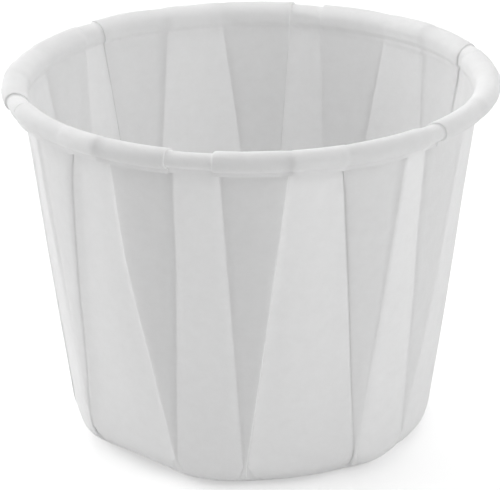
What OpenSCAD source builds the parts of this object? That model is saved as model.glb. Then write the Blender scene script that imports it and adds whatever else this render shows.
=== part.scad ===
// Medicine cup, folded from one round sheet of paper.
// The sheet is flat in the base, stands up as a pleated cone, and ends in an edge rolled outwards.
// The pleats take up the paper that a flat blank has in excess of a cone.
// They come in mirrored pairs, so each pair is a box pleat: three layers, one layer, three layers.
// Azimuth 0 is the front of the cup (-Y) and rises towards its right (+X).

/* [Cup] */
// Outer diameter across the rolled rim
rim_d = 40; // [34:0.1:50]
// Height from the table to the top of the rim
cup_h = 30.4; // [20:0.1:40]
// Diameter at which the line of the wall meets the table
base_d = 29.6; // [24:0.1:34]
// Radius of the soft bend between base and wall, at a pleat
corner_r = 3.4; // [2.6:0.1:4.5]
// Radius of the bend in the middle of a side, between two pleats
side_r = 2; // [1.6:0.1:2.6]
// How straight the base runs between two pleats, from 0 for round to 1 for straight
base_flat = 0.7; // [0:0.05:1]
// Height above which the wall is round again
round_h = 14; // [5:0.5:20]

/* [Paper] */
// Thickness of the paper
paper_t = 0.09; // [0.08:0.01:0.16]
// Air between two layers that lie on each other
layer_gap = 0.03; // [0.03:0.01:0.06]

/* [Rolled rim] */
// Outer diameter of the roll
roll_d = 1.9; // [1.6:0.1:3]
// Angle through which the edge is rolled outwards
roll_turn = 240; // [180:1:275]

/* [Pleats] */
// Mirrored pairs of pleats round the cup
pair_count = 6; // [4:1:9]
// Azimuth of the first pair
first_pair = -13.5; // [-30:0.5:30]
// Turn of each pair away from its even place
pair_shift = [0, -4.5, -2.5, -2, 0.5, 2.5];
// Share of its spare paper that each pair takes up, the rest being pressed in
pair_take = [0.86, 0.93, 0.9, 0.92, 0.95, 0.9];
// Share of the pitch between the two pleats of a pair, at the base
pair_spread = 0.35; // [0.3:0.01:0.42]
// Share of a pleat's width that lies towards its outer fold
pleat_lean = 0.65; // [0.5:0.01:0.7]
// Width over which a pleat runs out into the base
crease_w = 1.6; // [1.2:0.1:3]

/* [Hidden] */

// Facets across a lap of three layers, across the strips between laps, and up the section
lap_facets = 2;
narrow_facets = 2;
wide_facets = 3;
bend_facets = 4;
wall_facets = 5;
roll_facets = 11;

// From the middle of one layer to the middle of the next
layer_step = paper_t + layer_gap;

// Middle surface of the roll
roll_r = roll_d / 2 - layer_step - paper_t / 2;
roll_centre = [rim_d / 2 - roll_d / 2, cup_h - roll_d / 2];

// The wall runs from the base line to a tangent on the roll
base_r = base_d / 2;
to_roll = [roll_centre.x - base_r, roll_centre.y];
taper = atan2(to_roll.x, to_roll.y) - asin(roll_r / norm(to_roll));
wall_normal = [cos(taper), -sin(taper)];
wall_top = roll_centre - roll_r * wall_normal;

// The bend is tangent to the base and to the wall
bend_angle = 90 - taper;
function bend_centre(r) = let (z = paper_t / 2 + r) [base_r + (z * sin(taper) - r) / cos(taper), z];
function wall_foot(r) = bend_centre(r) + r * wall_normal;
corner_bend = corner_r - paper_t / 2;
side_bend = side_r - paper_t / 2;

// Spread of the pleats round the cup
pitch = 360 / pair_count;
apex_half = pitch * pair_spread / 2;
pleat_count = 2 * pair_count;
crease_half = degrees_of(crease_w / 2, wall_foot(corner_bend).x);

// How a pleat stands on a ring: still plain paper, an upright step, or a Z of three layers
PLAIN = 0;
STEPPED = 1;
FOLDED = 2;

function degrees_of(arc, radius) = arc / radius * 180 / PI;
function arc_of(degrees, radius) = degrees * radius * PI / 180;
function mix(a, b, share) = a + (b - a) * share;
function of_pair(list, i) = list[(i + pair_count) % pair_count % len(list)];
function pair_azimuth(i) = first_pair + i * pitch + of_pair(pair_shift, i);

// Rings of the section for a bend of radius r, from the edge of the flat base to the free edge of the roll.
// Each is [radius, height, outward normal, paper distance from the centre, state of the pleats].
function bend_rings(r) = [for (j = [0 : bend_facets])
    let (a = bend_angle * j / bend_facets, out = [sin(a), -cos(a)], p = bend_centre(r) + r * out)
    [p.x, p.y, out, bend_centre(r).x + arc_of(a, r), max(PLAIN, j - bend_facets + FOLDED)]];
function foot_distance(r) = bend_centre(r).x + arc_of(bend_angle, r);
function wall_length(r) = norm(wall_top - wall_foot(r));
function wall_rings(r) = [for (j = [1 : wall_facets])
    let (share = j / wall_facets, p = mix(wall_foot(r), wall_top, share))
    [p.x, p.y, wall_normal, foot_distance(r) + wall_length(r) * share, FOLDED]];
function roll_rings(r) = [for (j = [1 : roll_facets])
    let (
        a = 180 - taper - roll_turn * j / roll_facets,
        out = -[cos(a), sin(a)],
        p = roll_centre - roll_r * out
    )
    [p.x, p.y, out, foot_distance(r) + wall_length(r), FOLDED]];
function section(r) = concat(bend_rings(r), wall_rings(r), roll_rings(r));
rings = section(corner_bend);
side_rings = section(side_bend);

// Angle that the lap of one pleat covers on a ring.
// The blank brings a circumference that belongs to its paper distance, and each lap hides twice its width.
// Past the top of the wall the laps keep their angle.
// At the upright step there is no lap yet, only room for the one above it.
function lap_angle(ring, i) =
    ring[4] == STEPPED ? crease_half
    : of_pair(pair_take, i) * 180 / pleat_count * (ring[3] / min(ring[0], wall_top.x) - 1);
function outer_fold(ring, i) = apex_half + pleat_lean * lap_angle(ring, i);
function inner_fold(ring, i) = apex_half - (1 - pleat_lean) * lap_angle(ring, i);

// One pleat from its inner to its outer layer, as [azimuth from the middle of the pair, level]
pleat_last = lap_facets + 2;
function pleat_point(ring, i, k) =
    ring[4] == PLAIN ? [apex_half + mix(crease_half, -crease_half, k / pleat_last), 0]
    : ring[4] == STEPPED ? [apex_half, mix(-1, 1, k / pleat_last)]
    : [mix(inner_fold(ring, i), outer_fold(ring, i), min(max(k - 1, 0), lap_facets) / lap_facets),
       k == 0 ? -1 : k == pleat_last ? 1 : 0];

// Azimuths inside a layer that runs from one lap, over a strip of single paper, to the next lap
function layer_azimuths(ring, start, lap_end, lap_start, end, facets) =
    let (n = 2 * lap_facets + facets)
    [for (k = [1 : n - 1])
        ring[4] == PLAIN ? mix(start, end, k / n)
        : k <= lap_facets ? mix(start, lap_end, k / lap_facets)
        : k < lap_facets + facets ? mix(lap_end, lap_start, (k - lap_facets) / facets)
        : mix(lap_start, end, (k - lap_facets - facets) / lap_facets)];

// The folded line of the paper over one pitch: pleat, outer layer, mirrored pleat, inner layer
function pair_line(ring, i) =
    let (
        here = pair_azimuth(i),
        next = pair_azimuth(i + 1),
        pleat = [for (k = [0 : pleat_last]) pleat_point(ring, i, k)],
        inner = inner_fold(ring, i),
        level = pleat[pleat_last].y
    )
    concat(
        [for (p = pleat) [here - p.x, p.y]],
        [for (a = layer_azimuths(ring, here - pleat[pleat_last].x, here - inner, here + inner,
                                 here + pleat[pleat_last].x, narrow_facets)) [a, level]],
        [for (k = [pleat_last : -1 : 0]) [here + pleat[k].x, pleat[k].y]],
        [for (a = layer_azimuths(ring, here + pleat[0].x, here + outer_fold(ring, i),
                                 next - outer_fold(ring, i + 1), next - pleat_point(ring, i + 1, 0).x,
                                 wide_facets)) [a, -level]]
    );
lines = [for (ring = rings) [for (i = [0 : pair_count - 1]) each pair_line(ring, i)]];
count = len(lines[0]);
function azimuth(j, k) = lines[j][k % count].x + 360 * floor(k / count);

// Half the paper's thickness at a point of the line, as [along the ring, outwards], square to the paper
function unit(v) = v / norm(v);
function left(v) = [-v.y, v.x];
function step(j, k) =
    let (a = (k + count) % count, b = (a + 1) % count)
    [arc_of(lines[j][b].x - lines[j][a].x + (b == 0 ? 360 : 0), rings[j][0]),
     (lines[j][b].y - lines[j][a].y) * layer_step];
function half_paper(j, k) =
    let (n = left(unit(step(j, k - 1))), m = left(unit(step(j, k))))
    (n + m) * paper_t / 2 / (1 + n * m);

// Where an azimuth lies on its side of the base: the share by which a straight side lies inside its circle,
// and how near it is to the middle of the side, from 0 at a pleat to 1
corners = [for (i = [-1 : pair_count]) for (side = [-1, 1]) pair_azimuth(i) + side * apex_half];
function in_side(a) =
    [for (k = [0 : len(corners) - 2]) if (a >= corners[k] && a < corners[k + 1])
        let (middle = (corners[k] + corners[k + 1]) / 2, half = (corners[k + 1] - corners[k]) / 2)
        [1 - cos(half) / cos(a - middle), cos(90 * (a - middle) / half)]][0];

OUTSIDE = 1;
INSIDE = -1;
function skin_point(j, k, side) =
    let (
        half = side * half_paper(j, k),
        a = lines[j][k].x,
        place = in_side(a),
        p = mix([rings[j].x, rings[j].y], [side_rings[j].x, side_rings[j].y], place.y),
        normal = unit(mix(rings[j][2], side_rings[j][2], place.y)),
        out = lines[j][k].y * layer_step + half.y,
        inset = base_flat * max(0, 1 - p.y / round_h) * place.x,
        r = (p.x + normal.x * out) * (1 - inset),
        turn = a + degrees_of(half.x, rings[j][0])
    )
    [r * sin(turn), -r * cos(turn), p.y + normal.y * out];

// Points: the outer skin ring by ring, the inner skin, then the two middles of the base
last = len(rings) - 1;
inner_start = len(rings) * count;
outer_middle = 2 * inner_start;
cup_points = concat(
    [for (side = [OUTSIDE, INSIDE]) for (j = [0 : last]) for (k = [0 : count - 1]) skin_point(j, k, side)],
    [[0, 0, 0], [0, 0, paper_t]]
);

// A four-sided patch is cut along its flatter diagonal, so that layers on each other are cut alike
function patch(a, b, c, d, along) = along ? [[a, b, c], [a, c, d]] : [[a, b, d], [b, c, d]];
function band(j) = [for (k = [0 : count - 1])
    let (
        next = (k + 1) % count,
        a = j * count + k,
        b = (j + 1) * count + k,
        c = (j + 1) * count + next,
        d = j * count + next,
        along = abs(azimuth(j + 1, k + 1) - azimuth(j, k)) < abs(azimuth(j + 1, k) - azimuth(j, k + 1)),
        i = inner_start
    )
    each concat(patch(a, b, c, d, along), patch(i + d, i + c, i + b, i + a, !along))];
function edge(k) = let (a = last * count + k, d = last * count + (k + 1) % count)
    patch(a, inner_start + a, inner_start + d, d, true);
cup_faces = concat(
    [for (j = [0 : last - 1]) each band(j)],
    [for (k = [0 : count - 1]) each edge(k)],
    [for (k = [0 : count - 1]) [outer_middle, k, (k + 1) % count]],
    [for (k = [0 : count - 1]) [outer_middle + 1, inner_start + (k + 1) % count, inner_start + k]]
);

module cup() {
    color("whitesmoke") polyhedron(points = cup_points, faces = cup_faces, convexity = 10);
}

cup();
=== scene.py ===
"""A medicine cup folded from one round sheet of paper, on a white table.

The sheet lies flat in the base, stands up as a cone of box pleats, and ends in an edge rolled outwards.
Azimuth 0 is the front of the cup (-Y) and rises towards its right (+X).
"""

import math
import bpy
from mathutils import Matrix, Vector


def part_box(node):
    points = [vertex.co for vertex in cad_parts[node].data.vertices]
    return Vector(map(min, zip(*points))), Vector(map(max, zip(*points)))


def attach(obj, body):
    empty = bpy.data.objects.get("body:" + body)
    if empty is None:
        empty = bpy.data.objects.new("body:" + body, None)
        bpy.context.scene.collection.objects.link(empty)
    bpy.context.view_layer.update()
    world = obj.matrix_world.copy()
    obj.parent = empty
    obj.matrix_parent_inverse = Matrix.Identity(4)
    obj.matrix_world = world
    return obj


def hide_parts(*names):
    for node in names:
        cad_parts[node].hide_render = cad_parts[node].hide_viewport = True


bl_info = {
    "name": "Folded Paper Medicine Cup",
    "version": (1, 0, 0),
    "blender": (4, 5, 0),
    "location": "3D View > Sidebar > Paper Cup",
    "description": "Folds a round sheet of paper into a medicine cup and lights it on a white table",
    "category": "Add Mesh",
}

from collections import namedtuple

import bmesh
import bpy
from bpy.props import FloatProperty, FloatVectorProperty, PointerProperty
from mathutils import Matrix, Vector, noise

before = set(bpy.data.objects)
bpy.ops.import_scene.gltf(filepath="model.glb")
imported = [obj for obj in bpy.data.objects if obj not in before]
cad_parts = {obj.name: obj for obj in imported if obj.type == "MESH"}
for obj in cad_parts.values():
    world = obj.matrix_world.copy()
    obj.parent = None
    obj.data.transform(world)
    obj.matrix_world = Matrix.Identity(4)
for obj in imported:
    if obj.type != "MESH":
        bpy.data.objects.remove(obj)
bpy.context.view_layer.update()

NODE = "cup"
BODY = "root"
MM = 0.001
CAD_LOW, CAD_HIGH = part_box(NODE)

# Pleats round the cup, in mirrored pairs, with azimuths in degrees.
# side is -1 for the left pleat of a pair and 1 for the right one, apex is where the pleat starts at the base,
# take is its share of the spare paper, lean the part of its width that lies towards the outer fold,
# waist is how much narrower it gets under the rim, step is the azimuth of the inner fold on the rolled rim,
# fill is how far the paper beside the outer fold rises to it, from a plain step to none,
# ridge is how far the whole lap stands out along it, in mm,
# and flush is how smoothly the rolled rim runs over the inner fold, from a plain step to none.
Pleat = namedtuple("Pleat", "side apex take lean waist step fill ridge flush")
PLEATS = (
    Pleat(-1, -24.6, 1.02, 0.67, 0.13, -19.3, 0.10, 0.03, 0.0),
    Pleat(1, -3.0, 0.84, 0.72, 0.00, -8.4, 0.00, 0.00, 0.0),
    Pleat(-1, 31.5, 0.94, 0.545, 0.00, 42.3, 1.00, 0.00, 0.5),
    Pleat(1, 51.5, 1.06, 0.73, 0.08, 47.6, 0.30, 0.00, 0.0),
    Pleat(-1, 98.0, 0.95, 0.66, 0.00, 103.0, 1.00, 0.00, 1.0),
    Pleat(1, 114.5, 0.95, 0.66, 0.00, 110.6, 0.30, 0.00, 0.0),
    Pleat(-1, 154.0, 1.00, 0.70, 0.00, 160.3, 0.30, 0.00, 0.0),
    Pleat(1, 175.0, 0.95, 0.68, 0.00, 168.6, 0.30, 0.00, 0.2),
    Pleat(-1, 216.3, 1.04, 0.65, 0.00, 223.2, 0.30, 0.00, 0.0),
    Pleat(1, 237.5, 0.98, 0.64, 0.00, 230.0, 0.30, 0.00, 0.6),
    Pleat(-1, 278.5, 0.92, 0.63, 0.00, 284.5, 0.30, 0.00, 0.0),
    Pleat(1, 299.0, 0.98, 0.69, 0.00, 293.5, 1.00, 0.20, 1.0),
)
PAIRS = len(PLEATS) // 2

# How far the base edge is lifted off the table between a pleat and the next, in mm
EDGE_LIFTS = (0.35, 0.40, 0.30, 0.20, 0.15, 0.15, 0.12, 0.15, 0.12, 0.15, 0.20, 0.85)

# The side at the right of the front, by its place in EDGE_LIFTS, is rounder than the others by this share
ROUND_SIDE = 3
ROUND_SHARE = 0.7

# How a pleat stands on a ring of the cup: plain paper, an upright step, or a Z of three layers
PLAIN, STEPPED, FOLDED = 0, 1, 2

# Facets round a fold, across a lap, and across the single strips between laps
TURN_FACETS = 4
LAP_FACETS = 5
NARROW_FACETS = 8
WIDE_FACETS = 12
PLEAT_POINTS = 2 * (TURN_FACETS + 1) + LAP_FACETS - 1

# Rings of the section: flat base, bend, wall, neck under the rim, and roll
BASE_RINGS = 9
BEND_RINGS = 10
WALL_RINGS = 30
NECK_RINGS = 14
ROLL_RINGS = 32


class CupSizes(bpy.types.PropertyGroup):
    """Sizes of the cup."""

    rim_diameter: FloatProperty(
        name="Rim diameter",
        description="Outer diameter across the rolled rim",
        default=CAD_HIGH[1] - CAD_LOW[1],
        min=0.034,
        max=0.05,
        subtype="DISTANCE",
        unit="LENGTH",
    )
    height: FloatProperty(
        name="Height",
        description="Height from the table to the top of the rim",
        default=CAD_HIGH[2],
        min=0.02,
        max=0.04,
        subtype="DISTANCE",
        unit="LENGTH",
    )
    base_diameter: FloatProperty(
        name="Base diameter",
        description="Diameter at which the line of the wall meets the table",
        default=0.0296,
        min=0.024,
        max=0.034,
        subtype="DISTANCE",
        unit="LENGTH",
    )
    corner_radius: FloatProperty(
        name="Corner radius",
        description="Radius of the soft bend between base and wall",
        default=0.0034,
        min=0.002,
        max=0.006,
        subtype="DISTANCE",
        unit="LENGTH",
    )
    edge_radius: FloatProperty(
        name="Edge radius",
        description="Radius of the bend in the middle of a straight side of the base",
        default=0.0018,
        min=0.001,
        max=0.003,
        subtype="DISTANCE",
        unit="LENGTH",
    )
    paper_thickness: FloatProperty(
        name="Paper thickness",
        description="Thickness of the paper",
        default=0.00009,
        min=0.00008,
        max=0.00016,
        subtype="DISTANCE",
        unit="LENGTH",
    )
    layer_gap: FloatProperty(
        name="Layer gap",
        description="Air between two layers that lie on each other",
        default=0.000005,
        min=0.0,
        max=0.0001,
        subtype="DISTANCE",
        unit="LENGTH",
    )
    flare_radius: FloatProperty(
        name="Flare radius",
        description="Radius over which the wall bends outwards into the rim",
        default=0.0009,
        min=0.0004,
        max=0.0012,
        subtype="DISTANCE",
        unit="LENGTH",
    )
    roll_radius: FloatProperty(
        name="Roll radius",
        description="Radius over which the rim turns down",
        default=0.00065,
        min=0.0004,
        max=0.001,
        subtype="DISTANCE",
        unit="LENGTH",
    )
    tuck_angle: FloatProperty(
        name="Tuck angle",
        description="How far the rim turns in towards the wall under its widest place",
        default=math.radians(86),
        min=math.radians(20),
        max=math.radians(110),
        subtype="ANGLE",
        unit="ROTATION",
    )
    tuck_radius: FloatProperty(
        name="Tuck radius",
        description="Radius over which the tucked rim bends back along the wall",
        default=0.00028,
        min=0.0002,
        max=0.002,
        subtype="DISTANCE",
        unit="LENGTH",
    )
    lip_width: FloatProperty(
        name="Lip width",
        description="Width of the straight lip at the cut edge",
        default=0.0003,
        min=0.0,
        max=0.0006,
        subtype="DISTANCE",
        unit="LENGTH",
    )
    crease_width: FloatProperty(
        name="Crease width",
        description="Width over which a pleat runs out into the base",
        default=0.0016,
        min=0.0012,
        max=0.003,
        subtype="DISTANCE",
        unit="LENGTH",
    )
    base_flat: FloatProperty(
        name="Base flatness",
        description="How straight the base runs between two pleats, from round to straight",
        default=0.75,
        min=0.0,
        max=1.0,
        subtype="FACTOR",
    )


class CupLook(bpy.types.PropertyGroup):
    """Colours of the cup and the light on it."""

    paper: FloatVectorProperty(
        name="Paper",
        description="Colour of the bleached paper",
        default=(0.0, 0.0, 0.0),
        size=3,
        min=0.0,
        max=1.0,
        subtype="COLOR",
    )
    left_power: FloatProperty(
        name="Left power",
        description="Power of the softbox at the left",
        default=1.5,
        min=0.0,
        max=20.0,
        unit="POWER",
    )
    side_power: FloatProperty(
        name="Side power",
        description="Power of the softbox at the front right",
        default=1.0,
        min=0.0,
        max=20.0,
        unit="POWER",
    )
    back_power: FloatProperty(
        name="Back power",
        description="Power of the softbox behind the cup",
        default=1.1,
        min=0.0,
        max=20.0,
        unit="POWER",
    )
    top_power: FloatProperty(
        name="Top power",
        description="Power of the softbox over the cup",
        default=1.0,
        min=0.0,
        max=20.0,
        unit="POWER",
    )
    room_light: FloatProperty(
        name="Room light",
        description="Strength of the plain room round the cup",
        default=0.3,
        min=0.0,
        max=1.0,
        subtype="FACTOR",
    )


def mix(a, b, share):
    return a + (b - a) * share


def smooth(low, high, value):
    """Rises from 0 at low to 1 at high without a kink."""
    share = min(max((value - low) / (high - low), 0.0), 1.0)
    return share * share * (3 - 2 * share)


def degrees_of(arc, radius):
    return math.degrees(arc / radius)


def hex_to_linear(code):
    """Turns an sRGB hex colour into linear red, green and blue."""
    channels = [int(code[i:i + 2], 16) / 255 for i in (0, 2, 4)]
    return tuple(c / 12.92 if c <= 0.04045 else ((c + 0.055) / 1.055) ** 2.4 for c in channels)


class Section:
    """The middle surface of the paper, from the edge of the flat base to the free edge of the roll, in mm."""

    def __init__(self, sizes, corner_radius):
        self.paper = sizes.paper_thickness / MM
        self.step = self.paper + sizes.layer_gap / MM
        self.crease = sizes.crease_width / MM
        self.base_flat = sizes.base_flat
        self.flare_r = sizes.flare_radius / MM
        self.roll_r = sizes.roll_radius / MM
        self.tuck = sizes.tuck_angle
        self.tuck_r = sizes.tuck_radius / MM
        self.lip = sizes.lip_width / MM
        base_r = sizes.base_diameter / MM / 2
        # The rim's widest place and its top are given, and the taper follows from them in a few rounds
        clear = self.step + self.paper / 2
        widest = sizes.rim_diameter / MM / 2 - clear - self.roll_r
        highest = sizes.height / MM - clear
        self.taper = 0.0
        for _ in range(8):
            bent = math.cos(self.taper), 1 - math.sin(self.taper)
            self.wall_top = Vector((widest, highest)) - self.flare_r * Vector(bent)
            self.taper = math.atan2(self.wall_top.x - base_r, self.wall_top.y)
        self.wall_out = Vector((math.cos(self.taper), -math.sin(self.taper)))
        self.bend_r = corner_radius / MM - self.paper / 2
        bend_z = self.paper / 2 + self.bend_r
        self.bend_centre = Vector(
            (base_r + (bend_z * math.sin(self.taper) - self.bend_r) / math.cos(self.taper), bend_z)
        )
        self.bend_angle = math.pi / 2 - self.taper
        self.wall_foot = self.bend_centre + self.bend_r * self.wall_out
        self.foot_distance = self.bend_centre.x + self.bend_r * self.bend_angle
        self.wall_length = (self.wall_top - self.wall_foot).length

    def rings(self):
        """Each ring is its part of the section and its place in that part, from 0 to 1."""
        first = 1 / BASE_RINGS
        base = [("base", mix(first, 1, (j / BASE_RINGS) ** 0.7)) for j in range(BASE_RINGS)]
        bend = [("bend", j / BEND_RINGS) for j in range(BEND_RINGS)]
        neck = (NECK_LOW - 1.0 - self.wall_foot.y) / (self.wall_top.y - self.wall_foot.y)
        wall = [("wall", neck * j / WALL_RINGS) for j in range(WALL_RINGS)]
        wall += [("wall", mix(neck, 1, j / NECK_RINGS)) for j in range(NECK_RINGS)]
        roll = [("roll", j / ROLL_RINGS) for j in range(ROLL_RINGS + 1)]
        return base + bend + wall + roll

    def point(self, part, share, turn=1.0):
        """Radius and height, outward direction, and paper distance from the blank's centre."""
        if part == "base":
            return Vector((self.bend_centre.x * share, self.paper / 2)), Vector((0, -1)), self.bend_centre.x * share
        if part == "bend":
            angle = self.bend_angle * share
            out = Vector((math.sin(angle), -math.cos(angle)))
            return self.bend_centre + self.bend_r * out, out, self.bend_centre.x + self.bend_r * angle
        if part == "wall":
            place = self.wall_foot.lerp(self.wall_top, share)
            return place, self.wall_out, self.foot_distance + self.wall_length * share
        place, out = self.roll_point(share, turn)
        return place, out, self.foot_distance + self.wall_length

    def roll_point(self, share, turn):
        """A point of the rolled rim and its outward direction, after the stretches before it."""
        tuck = self.tuck * turn
        over = math.pi / 2 - self.taper
        down = math.pi / 2 + tuck
        back = tuck - self.taper
        # Each stretch has the angle through which it turns down and its length
        stretches = (
            (over, self.flare_r * over),
            (down, self.roll_r * down),
            (-back, self.tuck_r * back),
            (0.0, self.lip),
        )
        left = share * sum(length for _, length in stretches)
        place, heading = self.wall_top.copy(), self.taper
        out = self.wall_out
        for angle, length in stretches:
            done = min(left, length)
            if angle:
                heading += angle * done / length
                turned = Vector((math.cos(heading), -math.sin(heading)))
                place += length / angle * (out - turned)
                out = turned
            else:
                place += done * Vector((math.sin(heading), math.cos(heading)))
            left -= done
        return place, out


# Part of the spare paper that the blank takes up before the pleats open, and heights in mm between which they open
LATE = 0.07
OPEN_LOW = 0.4
OPEN_MID = 1.4
OPEN_HIGH = 3.0


def fold_state(part, height):
    if part == "base":
        return PLAIN
    if part == "roll":
        return FOLDED
    return smooth(OPEN_LOW, OPEN_MID, height) + smooth(OPEN_MID, OPEN_HIGH, height)


def fold_azimuths(section, pleat, part, share):
    """Azimuths of the outer and the inner fold of a pleat on a ring."""
    place, _, paper = section.point(part, share)
    radius = section.wall_top.x if part == "roll" else place.x
    spare = max(paper / radius - 1 - LATE, 0.02)
    waist = 1 - pleat.waist * (1.0 if part == "roll" else smooth(19, 28, place.y))
    lap = pleat.take * 180 / len(PLEATS) * spare * waist
    outer = pleat.apex + pleat.side * pleat.lean * lap
    inner = pleat.apex - pleat.side * (1 - pleat.lean) * lap
    over_rim = smooth(0.05, 0.5, share) if part == "roll" else 0.0
    step = pleat.step - 360 * round((pleat.step - pleat.apex) / 360)
    return outer, mix(inner, step, over_rim)


def in_wall(part, low, height, high):
    """Rises from 0 to 1 over the foot of the wall and falls back to 0 below the rim."""
    if part == "roll":
        return 0.0
    return smooth(low / 3, low, height) * (1 - smooth(high, high + 3, height))


Point = namedtuple("Point", "azimuth level layers lift")


def pleat_points(section, pleat, part, share, state):
    """The paper through one pleat, from the inner to the outer layer."""
    place, _, _ = section.point(part, share)
    last = PLEAT_POINTS - 1
    if state == PLAIN:
        half = degrees_of(section.crease / 2, section.bend_centre.x)
        return [Point(pleat.apex + pleat.side * half * (1 - 2 * k / last), 0, 1, 0) for k in range(PLEAT_POINTS)]
    if state == STEPPED:
        return [Point(pleat.apex, -1 + 2 * k / last, 1, 0) for k in range(PLEAT_POINTS)]
    outer, inner = fold_azimuths(section, pleat, part, share)
    turns = [math.pi * k / TURN_FACETS for k in range(TURN_FACETS + 1)]
    bulge = degrees_of(section.step / 2, place.x)
    points = [Point(inner - pleat.side * bulge * math.sin(t), -0.5 - 0.5 * math.cos(t), 3, 0) for t in turns]
    points += [Point(mix(inner, outer, k / LAP_FACETS), 0, 3, 0) for k in range(1, LAP_FACETS)]
    points += [Point(outer + pleat.side * bulge * math.sin(t), 0.5 - 0.5 * math.cos(t), 3, 0) for t in turns]
    return points


# Level of a single strip against the round of a fold, as a share of its own level
NESTLED = 0.45

# Levels by which the strip beside a fold comes up to it where it fills the step, as shares of its own level
FILLED = (-1.05, -0.85, 0.1, 0.7)


def strip_points(start, lap_end, lap_start, end, facets, level, folded, fills):
    """The paper between two pleats: under or over a lap, a single strip, and under or over the next lap."""
    if not folded:
        count = 2 * LAP_FACETS + facets
        return [Point(mix(start, end, k / count), level, 1, 0) for k in range(1, count)]
    # The outermost facets of the single strip are thin, so that the step from three layers to one is crisp
    edge = 0.025
    places = [edge] + [mix(edge, 1 - edge, k / (facets - 2)) for k in range(1, facets - 2)] + [1 - edge]
    singles = [Point(mix(lap_end, lap_start, place), level, 1, 0) for place in places]
    for k, filled in enumerate(FILLED[1:]):
        singles[k] = singles[k]._replace(level=level * mix(1, filled, fills[0]))
        singles[-1 - k] = singles[-1 - k]._replace(level=level * mix(1, filled, fills[1]))
    first, last = (level * mix(NESTLED, FILLED[0], fill) for fill in fills)
    points = [Point(mix(start, lap_end, k / LAP_FACETS), level, 3, 0) for k in range(1, LAP_FACETS)]
    points += [Point(lap_end, first, 3, 0)] + singles + [Point(lap_start, last, 3, 0)]
    points += [Point(mix(lap_start, end, k / LAP_FACETS), level, 3, 0) for k in range(1, LAP_FACETS)]
    return points


# At the back, between these azimuths, the single strips sink by this share to the inner folds
FIRST_BACK = 80
LAST_BACK = 285
SUNK = 0.5


def layout(section, part, share, state):
    """The folded line of the paper once round a ring."""
    points = []
    place, _, _ = section.point(part, share)
    small = degrees_of(section.crease / 3, section.wall_foot.x)
    # The single strips start just past the round of a fold
    past = degrees_of(section.step / 2 + section.paper / 2, place.x)
    for pair in range(PAIRS):
        left = PLEATS[2 * pair]
        right = PLEATS[2 * pair + 1]
        following = PLEATS[(2 * pair + 2) % len(PLEATS)]
        wrap = 360 if pair == PAIRS - 1 else 0
        left_points = pleat_points(section, left, part, share, state)
        right_points = pleat_points(section, right, part, share, state)
        next_points = pleat_points(section, following, part, share, state)
        left_start, right_start = left_points[-1].azimuth, right_points[-1].azimuth
        left_end, right_end = right_points[0].azimuth, next_points[0].azimuth + wrap
        if state == FOLDED:
            left_inner = fold_azimuths(section, left, part, share)[1] + past
            right_outer, right_inner = fold_azimuths(section, right, part, share)
            next_outer = fold_azimuths(section, following, part, share)[0] + wrap - past
            right_outer, right_inner = right_outer + past, right_inner - past
        else:
            left_inner, right_inner = left.apex + small, right.apex - small
            right_outer, next_outer = right.apex + small, following.apex + wrap - small
        level = 0 if state == PLAIN else 1
        folded = state != PLAIN
        sunk = [SUNK * in_wall(part, 4, place.y, 25) if FIRST_BACK < p.apex < LAST_BACK else 0 for p in (left, right)]
        over = strip_points(left_start, left_inner, right_inner, right_start, NARROW_FACETS, level, folded, sunk)
        if part == "roll":
            over = [risen(p, (left, left_inner), (right, right_inner), share) for p in over]
        fills = [p.fill * in_wall(part, 4, place.y, 26.5) for p in (right, following)]
        under = strip_points(left_end, right_outer, next_outer, right_end, WIDE_FACETS, -level, folded, fills)
        points += left_points + over + right_points[::-1] + under
    return points


# Angle over which the rolled rim swells before an inner fold that it runs over smoothly
SWELL = 9.0


def risen(point, left, right, share):
    """Raises a point of the single strip on the rolled rim towards the laps beside it."""
    rise = 0.0
    for pleat, fold in (left, right):
        away = -pleat.side * (point.azimuth - fold)
        if away > 0.05:
            rise += pleat.flush * (1 - smooth(0, SWELL, away))
    return point._replace(level=point.level - 1.9 * min(rise, 1) * smooth(0, 0.15, share))


def ridge_at(section, part, share, azimuth):
    """How far the paper stands out beside the outer folds, in mm."""
    place, _, _ = section.point(part, share)
    total = 0.0
    for pleat in PLEATS:
        if pleat.ridge:
            outer, _ = fold_azimuths(section, pleat, part, share)
            away = math.radians((azimuth - outer + 180) % 360 - 180) * place.x * pleat.side
            total += pleat.ridge * (max(0, 1 - away / 0.7) if away > 0 else 1 - smooth(0, 3.5, -away))
    return total * in_wall(part, 6, place.y, 25)


def ring_line(section, part, share):
    """The line of a ring, blended between two states while the pleats open."""
    place, _, _ = section.point(part, share)
    state = fold_state(part, place.y)
    low = min(int(state), FOLDED - 1)
    share_up = state - low
    before = layout(section, part, share, low)
    after = layout(section, part, share, low + 1)
    line = [Point(*(mix(a, b, share_up) for a, b in zip(p, q))) for p, q in zip(before, after)]
    return [p._replace(lift=p.lift + ridge_at(section, part, share, p.azimuth)) for p in line]


# Height in mm up to which the wall has straight sides
STRAIGHT_TOP = 15.0

# The rolled rim stands in over the wall, above a narrow neck, by this depth in mm
NECK_LOW = 28.5
NECK_HIGH = 28.95
NECK_DEPTH = 0.3


def side_of_base(azimuth, corners):
    """The straight side of the base at an azimuth: its number, its middle and half its angle."""
    for number, (low, high) in enumerate(zip(corners, corners[1:])):
        if low <= azimuth < high:
            return (number - 1) % len(PLEATS), (low + high) / 2, (high - low) / 2
    raise ValueError("no side of the base at azimuth %.1f" % azimuth)


def gauss(value, middle, width):
    return math.exp(-(((value - middle) / width) ** 2))


def around_to(azimuth, middle):
    """Angle from one azimuth to another, in degrees, the short way round."""
    return (azimuth - middle + 180) % 360 - 180


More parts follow.
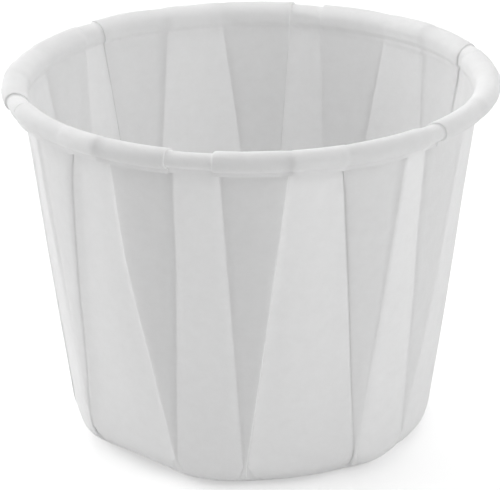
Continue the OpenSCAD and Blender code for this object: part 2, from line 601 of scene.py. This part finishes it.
def neck(part, share, azimuth, height):
    """How far the paper lies inside the cone round the neck under the rolled rim, in mm."""
    # The neck fades out at the front and is deepest at the back left
    depth = NECK_DEPTH * (0.4 + 0.6 * smooth(40, 110, abs(around_to(azimuth, 0))))
    if part == "roll":
        return depth * (1 - smooth(0.0, 0.35, share))
    inside = depth * smooth(NECK_LOW, NECK_HIGH, height)
    # At the back right the wall under the neck is pressed into a raised crease
    crease = 0.13 * gauss(height, 28.35, 0.22) * gauss(around_to(azimuth, 127), 0, 17)
    return inside + crease


def place_point(soft, sharp, part, share, point, corners):
    """Where a point of the paper lies in the finished cup, in mm. soft and sharp are its sections."""
    azimuth = point.azimuth
    around = math.radians(azimuth)
    circle = Vector((math.sin(around), math.cos(around), 0))
    number, middle, half = side_of_base(azimuth, corners)
    in_side = math.cos(math.pi / 2 * (azimuth - middle) / half)
    # The roll is turned less far at the front left, where its cut edge shows
    turn = 1 + 0.03 * noise.noise(circle * 1.7 + Vector((0, 0, 3.0))) - 0.3 * gauss(around_to(azimuth, -62), 0, 22)
    place, out, _ = soft.point(part, share, turn)
    if part in ("base", "bend", "wall"):
        sharp_place, sharp_out, _ = sharp.point(part, share)
        place = place.lerp(sharp_place, in_side)
        out = out.lerp(sharp_out, in_side).normalized()
    offset = point.level * soft.step + point.lift
    radius = place.x + out.x * offset
    height = place.y + out.y * offset
    flat = soft.base_flat * max(0.0, 1 - place.y / STRAIGHT_TOP)
    if number == ROUND_SIDE:
        flat *= 1 - ROUND_SHARE
    inset = 1 - math.cos(math.radians(half)) / math.cos(math.radians(azimuth - middle))
    radius *= 1 - flat * inset
    # Between two pleats the edge of the base comes off the table
    height += EDGE_LIFTS[number] * in_side * smooth(0.6, 1.0, place.x / soft.bend_centre.x) * (1 - smooth(1, 8, place.y))
    # The paper isn't true: slow waves round the wall and along the rim, and small dents where it was rolled
    waves = noise.noise(circle * 2.2 + Vector((0, 0, place.y / 14)))
    radius += 0.10 * waves * smooth(2, 12, place.y)
    height += 0.10 * noise.noise(circle * 2 + Vector((0, 0, 9.0))) * smooth(15, 29, place.y)
    dents = noise.noise(circle * 9 + Vector((0, 0, place.y * 0.9 + share)))
    near_rim = 1.0 if part == "roll" else smooth(26.5, 28.5, place.y)
    radius += 0.06 * dents * near_rim
    height += 0.045 * dents * (near_rim if part == "roll" else 0)
    radius -= neck(part, share, azimuth, place.y)
    return Vector((radius * math.sin(around), -radius * math.cos(around), height)) * MM


def fold_blank(sizes):
    """Starts from a disc and extrudes its edge ring by ring along the folded section."""
    section = Section(sizes, sizes.corner_radius)
    sharp = Section(sizes, sizes.edge_radius)
    apexes = [p.apex for p in PLEATS]
    corners = [apexes[-1] - 360] + apexes + [apexes[0] + 360, apexes[1] + 360]
    bm = bmesh.new()
    column = bm.verts.layers.int.new("column")
    layers = bm.verts.layers.float.new("layers")
    rings = section.rings()
    line = ring_line(section, *rings[0])
    disc = bmesh.ops.create_circle(bm, cap_ends=True, cap_tris=True, segments=len(line), radius=MM)
    for vert in disc["verts"]:
        if vert.co.length > MM / 2:
            vert[column] = round(math.degrees(math.atan2(vert.co.x, -vert.co.y)) % 360 / 360 * len(line)) % len(line) + 1
        else:
            vert.co.z = section.paper / 2 * MM
            vert[layers] = 1
    edge_verts = [v for v in bm.verts if v[column]]
    edges = [e for e in bm.edges if all(v[column] for v in e.verts)]
    for part, share in rings:
        line = ring_line(section, part, share)
        if edge_verts is None:
            grown = bmesh.ops.extrude_edge_only(bm, edges=edges)["geom"]
            edge_verts = [g for g in grown if isinstance(g, bmesh.types.BMVert)]
            fresh = set(edge_verts)
            edges = [g for g in grown if isinstance(g, bmesh.types.BMEdge) and fresh.issuperset(g.verts)]
        for vert in edge_verts:
            point = line[vert[column] - 1]
            vert.co = place_point(section, sharp, part, share, point, corners)
            vert[layers] = point.layers
        edge_verts = None
    for face in bm.faces:
        face.smooth = True
    return bm


def mark_inner_side(mesh):
    """Gives the side of the paper that faces the cup's axis the value 1, and the other side 0."""
    inside = mesh.attributes.new("inside", "FLOAT", "POINT")
    for vert, value in zip(mesh.vertices, inside.data):
        outward = Vector((vert.co.x, vert.co.y, 0)).normalized()
        value.value = smooth(0.0, 0.5, -vert.normal.dot(outward))


def add_node(tree, kind, inputs, **settings):
    """Adds a node with its settings, and links or sets its inputs."""
    node = tree.nodes.new(kind)
    for name, value in settings.items():
        setattr(node, name, value)
    for socket, value in inputs.items():
        if isinstance(value, bpy.types.NodeSocket):
            tree.links.new(value, node.inputs[socket])
        else:
            node.inputs[socket].default_value = value
    return node


def new_tree(owner):
    owner.use_nodes = True
    owner.node_tree.nodes.clear()
    return owner.node_tree


def paper_material(look):
    """Bleached, uncoated paper: matt, a little cloudy, and light shines through a single layer."""
    material = bpy.data.materials.new("bleached_paper")
    tree = new_tree(material)
    place = add_node(tree, "ShaderNodeTexCoord", {}).outputs["Object"]
    # Clouds of fibre about 1.2 mm across
    clouds = add_node(
        tree, "ShaderNodeTexNoise", {"Vector": place, "Scale": 1 / (1.2 * MM), "Detail": 5.0, "Roughness": 0.65}
    )
    cloudy = add_node(
        tree,
        "ShaderNodeMapRange",
        {"Value": clouds.outputs["Fac"], "From Min": 0.35, "From Max": 0.65, "To Min": 0.0, "To Max": 1.0},
    )
    clear = hex_to_linear("FCFCFC") + (1.0,)
    clouded = hex_to_linear("F8F8F8") + (1.0,)
    colour = add_node(
        tree, "ShaderNodeMix", {"Factor": cloudy.outputs["Result"], "A": clear, "B": clouded}, data_type="RGBA"
    )
    # Fibre grain, drawn at 0.25 mm so that it shows, and cockles about 3 mm across
    grain = add_node(tree, "ShaderNodeTexNoise", {"Vector": place, "Scale": 1 / (0.25 * MM), "Detail": 2.0})
    cockle = add_node(tree, "ShaderNodeTexNoise", {"Vector": place, "Scale": 1 / (3.0 * MM), "Detail": 2.0})
    grain_bump = add_node(
        tree, "ShaderNodeBump", {"Height": grain.outputs["Fac"], "Strength": 1.0, "Distance": 0.012 * MM}
    )
    bump = add_node(
        tree,
        "ShaderNodeBump",
        {
            "Height": cockle.outputs["Fac"],
            "Strength": 1.0,
            "Distance": 0.045 * MM,
            "Normal": grain_bump.outputs["Normal"],
        },
    )
    # Less light gets into the inner side, so that the layers show there as little as they do in the photo
    inside = add_node(tree, "ShaderNodeAttribute", {}, attribute_name="inside", attribute_type="GEOMETRY")
    soft = add_node(
        tree, "ShaderNodeMapRange", {"Value": inside.outputs["Fac"], "To Min": 0.4, "To Max": 0.2}
    )
    shader = add_node(
        tree,
        "ShaderNodeBsdfPrincipled",
        {
            "Base Color": colour.outputs[2],
            "Roughness": 0.75,
            "Specular IOR Level": 0.35,
            "Subsurface Weight": soft.outputs["Result"],
            "Subsurface Radius": (1.0, 1.0, 1.0),
            "Subsurface Scale": 0.3 * MM,
            "Normal": bump.outputs["Normal"],
        },
    )
    add_node(tree, "ShaderNodeOutputMaterial", {"Surface": shader.outputs["BSDF"]})
    return material


class PAPERCUP_OT_fold(bpy.types.Operator):
    """Fold the round sheet into the cup"""

    bl_idname = "papercup.fold"
    bl_label = "Fold Cup"
    bl_options = {"REGISTER", "UNDO"}

    def execute(self, context):
        sizes = context.scene.papercup_sizes
        bm = fold_blank(sizes)
        mesh = bpy.data.meshes.new("folded_cup")
        bm.to_mesh(mesh)
        bm.free()
        cup = bpy.data.objects.new("folded_cup", mesh)
        context.collection.objects.link(cup)
        # The sheet gets its thickness, and its cut edge stays crisp
        thick = cup.modifiers.new("thickness", "SOLIDIFY")
        thick.thickness = sizes.paper_thickness
        thick.offset = 0
        thick.use_even_offset = True
        thick.thickness_clamp = 0
        solid = bpy.data.meshes.new_from_object(cup.evaluated_get(context.evaluated_depsgraph_get()))
        cup.modifiers.clear()
        cup.data = solid
        solid.set_sharp_from_angle(angle=math.radians(60))
        mark_inner_side(solid)
        solid.materials.clear()
        solid.materials.append(paper_material(context.scene.papercup_look))
        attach(cup, BODY)
        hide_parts(NODE)
        return {"FINISHED"}


# The viewpoint of the photograph: the camera looks at a point on the cup's axis, in mm
VIEW_ELEVATION = math.radians(22.25)
VIEW_ROLL = math.radians(-0.69)
VIEW_DISTANCE = 203.3
VIEW_TARGET = Vector((-0.22, 0.0, 15.25))
VIEW_LENS = 177.3


def photograph_camera(context):
    forward = Vector((0, math.cos(VIEW_ELEVATION), -math.sin(VIEW_ELEVATION)))
    level = Vector((1, 0, 0))
    upright = level.cross(forward)
    right = math.cos(VIEW_ROLL) * level + math.sin(VIEW_ROLL) * upright
    up = -math.sin(VIEW_ROLL) * level + math.cos(VIEW_ROLL) * upright
    data = bpy.data.cameras.new("camera")
    data.lens = VIEW_LENS
    data.sensor_width = 36
    data.clip_start = 0.01
    camera = bpy.data.objects.new("camera", data)
    turn = Matrix((right, up, -forward)).transposed().to_4x4()
    camera.matrix_world = Matrix.Translation((VIEW_TARGET - forward * VIEW_DISTANCE) * MM) @ turn
    context.collection.objects.link(camera)
    context.scene.camera = camera


def softbox(context, name, place, size, power):
    """A square area light that faces the middle of the cup."""
    data = bpy.data.lights.new(name, "AREA")
    data.shape = "RECTANGLE"
    data.size, data.size_y = size
    data.energy = power
    lamp = bpy.data.objects.new(name, data)
    lamp.location = place
    lamp.rotation_euler = (Vector((0, 0, 0.015)) - Vector(place)).to_track_quat("-Z", "Y").to_euler()
    context.collection.objects.link(lamp)


def white_room(context, strength):
    """A white room: the camera and reflections see pure white, and the cup gets a plain even light."""
    world = bpy.data.worlds.new("white_room")
    context.scene.world = world
    tree = new_tree(world)
    path = add_node(tree, "ShaderNodeLightPath", {})
    seen = add_node(
        tree,
        "ShaderNodeMath",
        {0: path.outputs["Is Camera Ray"], 1: path.outputs["Is Glossy Ray"]},
        operation="MAXIMUM",
    )
    seen = add_node(
        tree, "ShaderNodeMath", {0: seen.outputs[0], 1: path.outputs["Is Transmission Ray"]}, operation="MAXIMUM"
    )
    level = add_node(tree, "ShaderNodeMapRange", {"Value": seen.outputs[0], "To Min": strength, "To Max": 1.0})
    back = add_node(tree, "ShaderNodeBackground", {"Color": (1, 1, 1, 1), "Strength": level.outputs["Result"]})
    add_node(tree, "ShaderNodeOutputWorld", {"Surface": back.outputs["Background"]})


# How much brighter the camera sees the table than its light alone makes it
TABLE_GLOW = 0.42


def table_material():
    """Smooth white board. It keeps the cup's shadow, and elsewhere the camera sees it as white."""
    material = bpy.data.materials.new("white_board")
    tree = new_tree(material)
    board = add_node(tree, "ShaderNodeBsdfDiffuse", {"Color": hex_to_linear("EEEEEE") + (1.0,)})
    # Only the camera sees this glow, so it puts no light on the cup
    path = add_node(tree, "ShaderNodeLightPath", {})
    level = add_node(
        tree, "ShaderNodeMath", {0: path.outputs["Is Camera Ray"], 1: TABLE_GLOW}, operation="MULTIPLY"
    )
    glow = add_node(tree, "ShaderNodeEmission", {"Color": (1, 1, 1, 1), "Strength": level.outputs[0]})
    both = add_node(tree, "ShaderNodeAddShader", {0: board.outputs[0], 1: glow.outputs[0]})
    add_node(tree, "ShaderNodeOutputMaterial", {"Surface": both.outputs[0]})
    return material


class PAPERCUP_OT_stage(bpy.types.Operator):
    """Set the cup on a white table with soft light and the camera"""

    bl_idname = "papercup.stage"
    bl_label = "Set Stage"
    bl_options = {"REGISTER", "UNDO"}

    def execute(self, context):
        look = context.scene.papercup_look
        bm = bmesh.new()
        bmesh.ops.create_grid(bm, x_segments=1, y_segments=1, size=2.0)
        mesh = bpy.data.meshes.new("table")
        bm.to_mesh(mesh)
        bm.free()
        table = bpy.data.objects.new("table", mesh)
        mesh.materials.append(table_material())
        context.collection.objects.link(table)
        white_room(context, look.room_light)
        softbox(context, "left_softbox", (-0.5, 0.1, 0.25), (0.5, 0.5), look.left_power)
        softbox(context, "side_softbox", (0.42, -0.28, 0.2), (0.5, 0.5), look.side_power)
        softbox(context, "back_softbox", (0.0, 0.5, 0.4), (0.6, 0.6), look.back_power)
        softbox(context, "top_softbox", (0.0, 0.1, 0.6), (0.6, 0.6), look.top_power)
        photograph_camera(context)
        context.scene.view_settings.view_transform = "Standard"
        return {"FINISHED"}


class PAPERCUP_PT_panel(bpy.types.Panel):
    """Lists the cup's sizes and the steps that make it"""

    bl_idname = "PAPERCUP_PT_panel"
    bl_label = "Paper Cup"
    bl_space_type = "VIEW_3D"
    bl_region_type = "UI"
    bl_category = "Paper Cup"

    def draw(self, context):
        column = self.layout.column()
        for group in (context.scene.papercup_sizes, context.scene.papercup_look):
            for name in group.__annotations__:
                column.prop(group, name)
        column.operator(PAPERCUP_OT_fold.bl_idname)
        column.operator(PAPERCUP_OT_stage.bl_idname)


CLASSES = (CupSizes, CupLook, PAPERCUP_OT_fold, PAPERCUP_OT_stage, PAPERCUP_PT_panel)


def register():
    for cls in CLASSES:
        bpy.utils.register_class(cls)
    bpy.types.Scene.papercup_sizes = PointerProperty(type=CupSizes)
    bpy.types.Scene.papercup_look = PointerProperty(type=CupLook)


def unregister():
    del bpy.types.Scene.papercup_look
    del bpy.types.Scene.papercup_sizes
    for cls in reversed(CLASSES):
        bpy.utils.unregister_class(cls)


def main():
    register()
    bpy.ops.papercup.fold()
    bpy.ops.papercup.stage()


if __name__ == "__main__":
    main()
